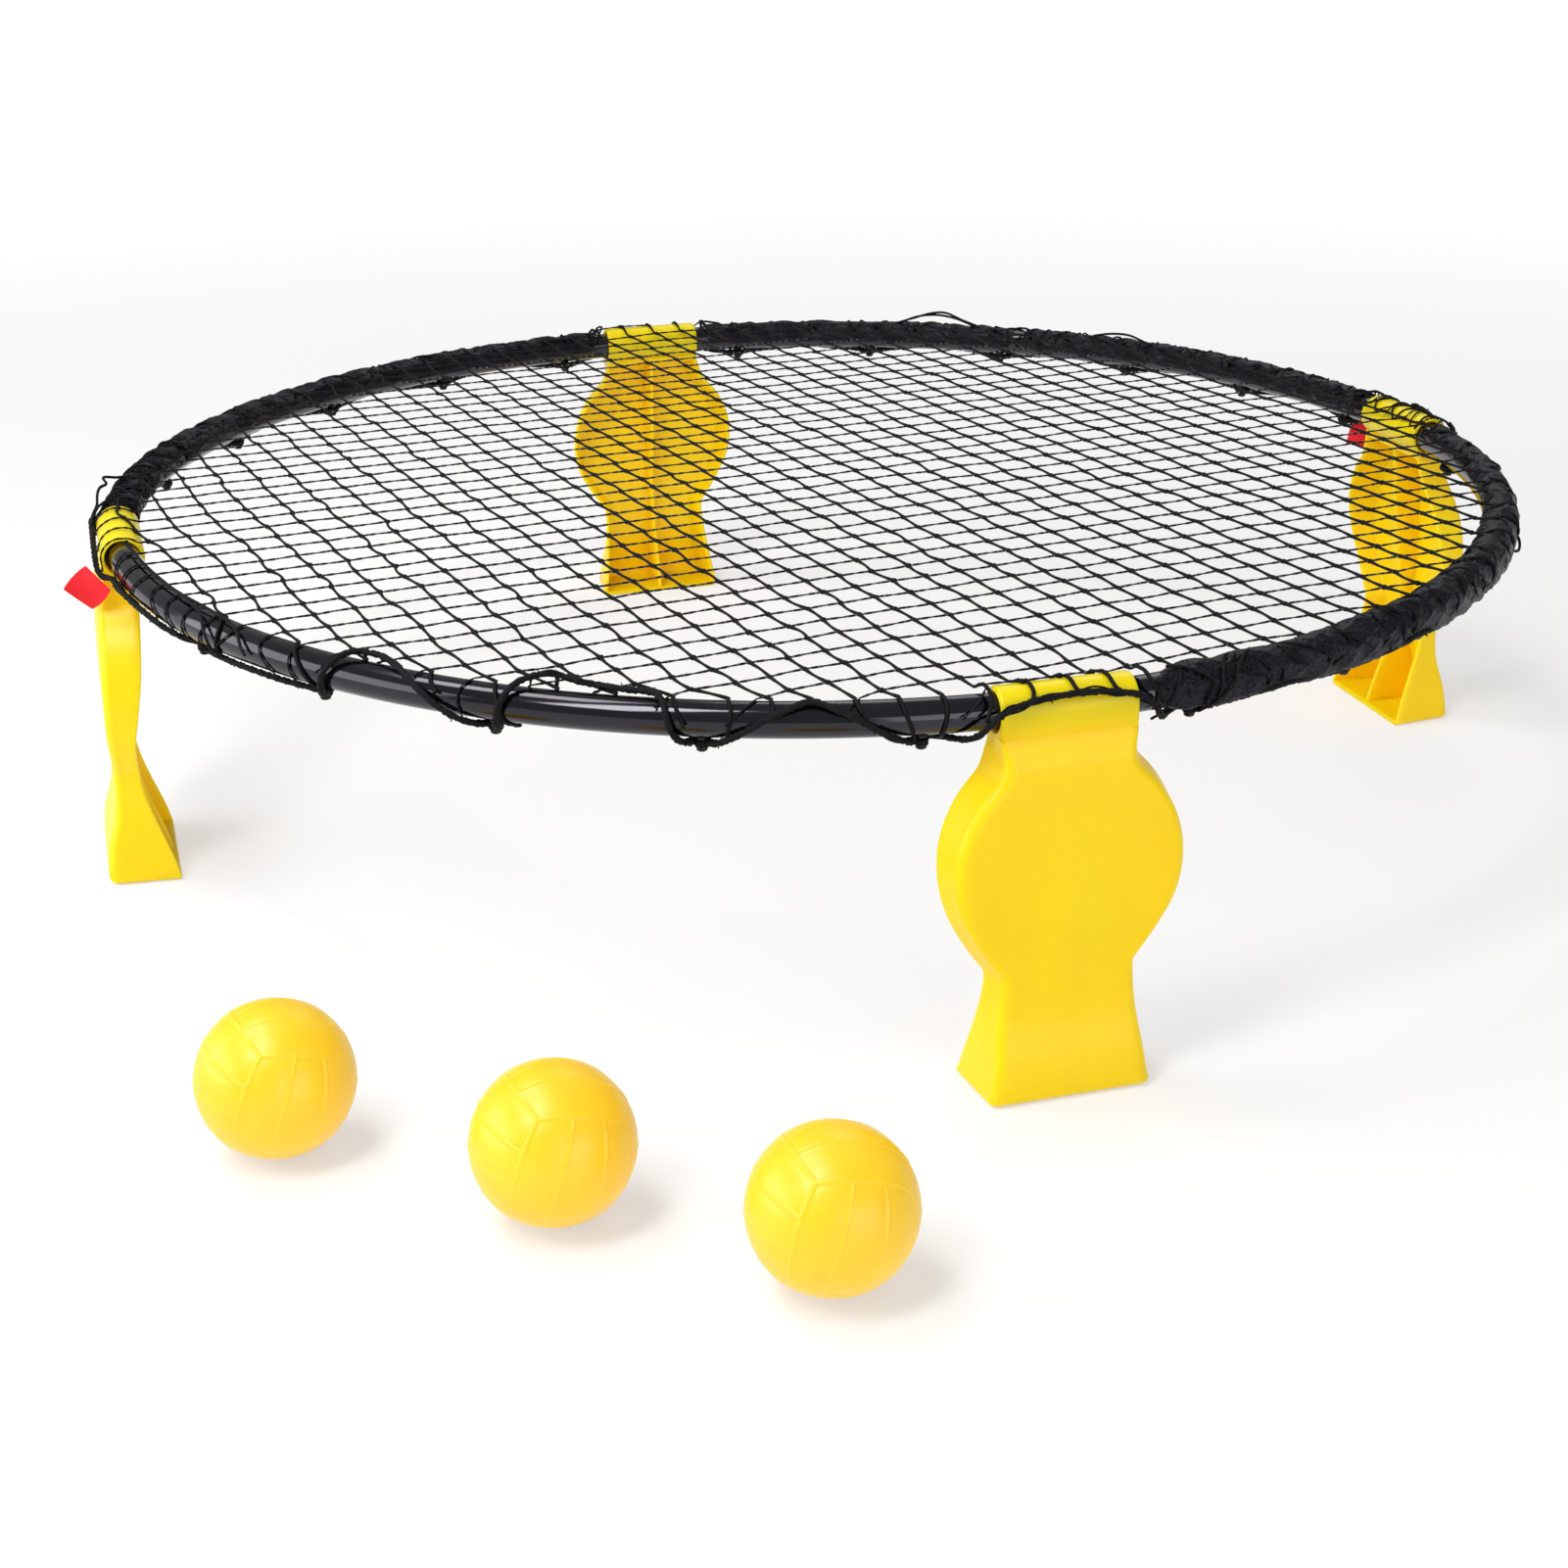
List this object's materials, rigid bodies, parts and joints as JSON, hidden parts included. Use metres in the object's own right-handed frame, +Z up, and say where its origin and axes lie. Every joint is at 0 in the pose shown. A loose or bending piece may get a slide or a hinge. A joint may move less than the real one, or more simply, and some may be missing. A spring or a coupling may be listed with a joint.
{
  "type": "roundnet set",
  "caption": "Low round tube frame on folding legs with a knotted net lashed over it, and hollow rubber balls that bounce off the net.",
  "frame": {"origin": "middle of the whole set's ground plan, on the ground", "axes": "+Z up, +X to the right, +Y from the balls' side toward the back of the net"},
  "size_m": [0.9452, 1.1418, 0.2294],
  "materials": {
    "rim": "glossy black enamel on steel tube",
    "black_plastic": "moulded black nylon",
    "leg_plastic": "moulded yellow ABS, satin",
    "net_cord": "black knotted polyester cord",
    "tab_webbing": "red woven webbing",
    "ball_rubber": "soft pale yellow rubber, matt",
    "valve_rubber": "soft rubber plug"
  },
  "bodies": {
    "frame": {"rim_tube_1": "rim", "rim_tube_2": "rim", "rim_tube_3": "rim", "rim_tube_4": "rim", "tube_joint_1": "black_plastic", "tube_joint_2": "black_plastic", "tube_joint_3": "black_plastic", "tube_joint_4": "black_plastic", "hook_pegs_1": "black_plastic", "hook_pegs_2": "black_plastic", "hook_pegs_3": "black_plastic", "hook_pegs_4": "black_plastic", "net": "net_cord", "net_border": "net_cord", "edge_cord": "net_cord", "pull_tab_1": "tab_webbing", "pull_tab_2": "tab_webbing"},
    "leg_1": {"leg_1": "leg_plastic"},
    "leg_2": {"leg_2": "leg_plastic"},
    "leg_3": {"leg_3": "leg_plastic"},
    "leg_4": {"leg_4": "leg_plastic"},
    "ball_1": {"ball_1": "ball_rubber", "ball_valve_1": "valve_rubber"},
    "ball_2": {"ball_2": "ball_rubber", "ball_valve_2": "valve_rubber"},
    "ball_3": {"ball_3": "ball_rubber", "ball_valve_3": "valve_rubber"}
  },
  "joints": [
    {"name": "leg_1_fold", "type": "hinge", "parent": "frame", "child": "leg_1", "pos_m": [0.42881, 0.22458, 0.2127], "axis": [-0.2823, 0.9593, 0], "range_deg": [0, 85]},
    {"name": "leg_2_fold", "type": "hinge", "parent": "frame", "child": "leg_2", "pos_m": [-0.12621, 0.52718, 0.2127], "axis": [-0.9593, -0.2823, 0], "range_deg": [0, 85]},
    {"name": "leg_3_fold", "type": "hinge", "parent": "frame", "child": "leg_3", "pos_m": [-0.42881, -0.02783, 0.2127], "axis": [0.2823, -0.9593, 0], "range_deg": [0, 85]},
    {"name": "leg_4_fold", "type": "hinge", "parent": "frame", "child": "leg_4", "pos_m": [0.12621, -0.33044, 0.2127], "axis": [0.9593, 0.2823, 0], "range_deg": [0, 85]},
    {"name": "ball_1_lift", "type": "slide", "parent": "frame", "child": "ball_1", "axis": [0, 0, 1], "range_m": [0, 0.3]},
    {"name": "ball_2_lift", "type": "slide", "parent": "frame", "child": "ball_2", "axis": [0, 0, 1], "range_m": [0, 0.3]},
    {"name": "ball_3_lift", "type": "slide", "parent": "frame", "child": "ball_3", "axis": [0, 0, 1], "range_m": [0, 0.3]}
  ]
}
